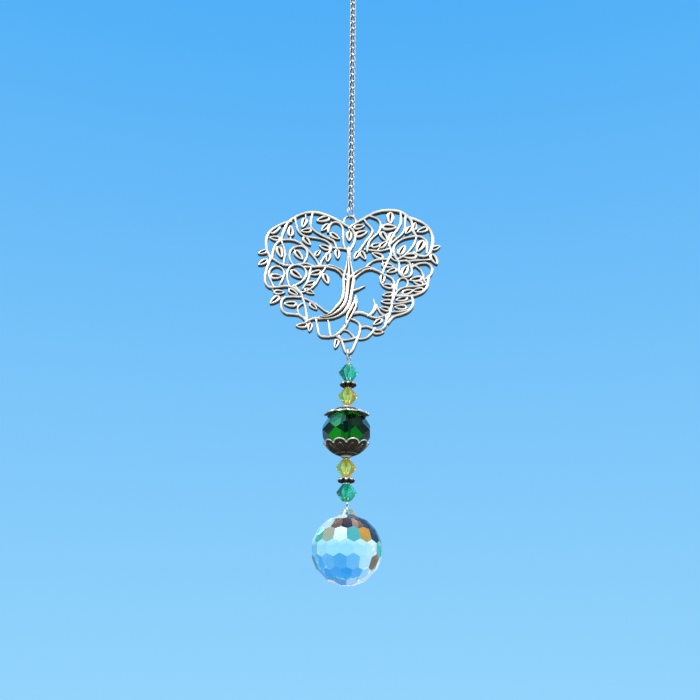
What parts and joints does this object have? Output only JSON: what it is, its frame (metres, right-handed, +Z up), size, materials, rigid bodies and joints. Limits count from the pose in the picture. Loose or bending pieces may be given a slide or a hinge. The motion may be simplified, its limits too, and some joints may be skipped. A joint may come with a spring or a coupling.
{
  "type": "hanging crystal suncatcher",
  "caption": "Hanging suncatcher: ring and curb chain, openwork tree-of-life heart, glass beads with caps on an eye pin, faceted crystal ball to scatter sunlight.",
  "frame": {"origin": "where the hook bears, at the top of the hole of the hanging ring", "axes": "+Z up the hanging line, -Y towards the front of the heart, +X to the viewer's right"},
  "size_m": [0.0587, 0.02, 0.216],
  "materials": {
    "chain_steel": "bright silver-coloured wire, lightly tarnished between the turns",
    "antique_silver": "antique silver plating with dark patina left in the recesses",
    "teal_glass": "teal cut glass with a bright lustre",
    "yellow_glass": "peridot yellow-green cut glass",
    "green_glass": "deep green cut glass",
    "clear_crystal": "clear polished crystal"
  },
  "bodies": {
    "root": {"hanging_ring": "chain_steel", "chain_link_01": "chain_steel", "chain_link_02": "chain_steel", "chain_link_03": "chain_steel", "chain_link_04": "chain_steel", "chain_link_05": "chain_steel", "chain_link_06": "chain_steel", "chain_link_07": "chain_steel", "chain_link_08": "chain_steel", "chain_link_09": "chain_steel", "chain_link_10": "chain_steel", "chain_link_11": "chain_steel", "chain_link_12": "chain_steel", "chain_link_13": "chain_steel", "chain_link_14": "chain_steel", "chain_link_15": "chain_steel", "chain_link_16": "chain_steel", "chain_link_17": "chain_steel", "chain_link_18": "chain_steel", "chain_link_19": "chain_steel", "chain_link_20": "chain_steel", "chain_link_21": "chain_steel", "chain_link_22": "chain_steel", "chain_link_23": "chain_steel", "chain_link_24": "chain_steel", "chain_link_25": "chain_steel", "chain_link_26": "chain_steel", "chain_link_27": "chain_steel", "chain_link_28": "chain_steel", "chain_link_29": "chain_steel", "chain_link_30": "chain_steel", "chain_link_31": "chain_steel", "chain_link_32": "chain_steel", "chain_link_33": "chain_steel", "jump_ring": "chain_steel", "tree_heart": "antique_silver", "eye_pin": "chain_steel", "teal_bicone_upper": "teal_glass", "spacer_upper": "antique_silver", "yellow_bicone_upper": "yellow_glass", "bead_cap_upper": "antique_silver", "green_bead": "green_glass", "bead_cap_lower": "antique_silver", "yellow_bicone_lower": "yellow_glass", "spacer_lower": "antique_silver", "teal_bicone_lower": "teal_glass", "crystal_ball": "clear_crystal"}
  },
  "joints": []
}
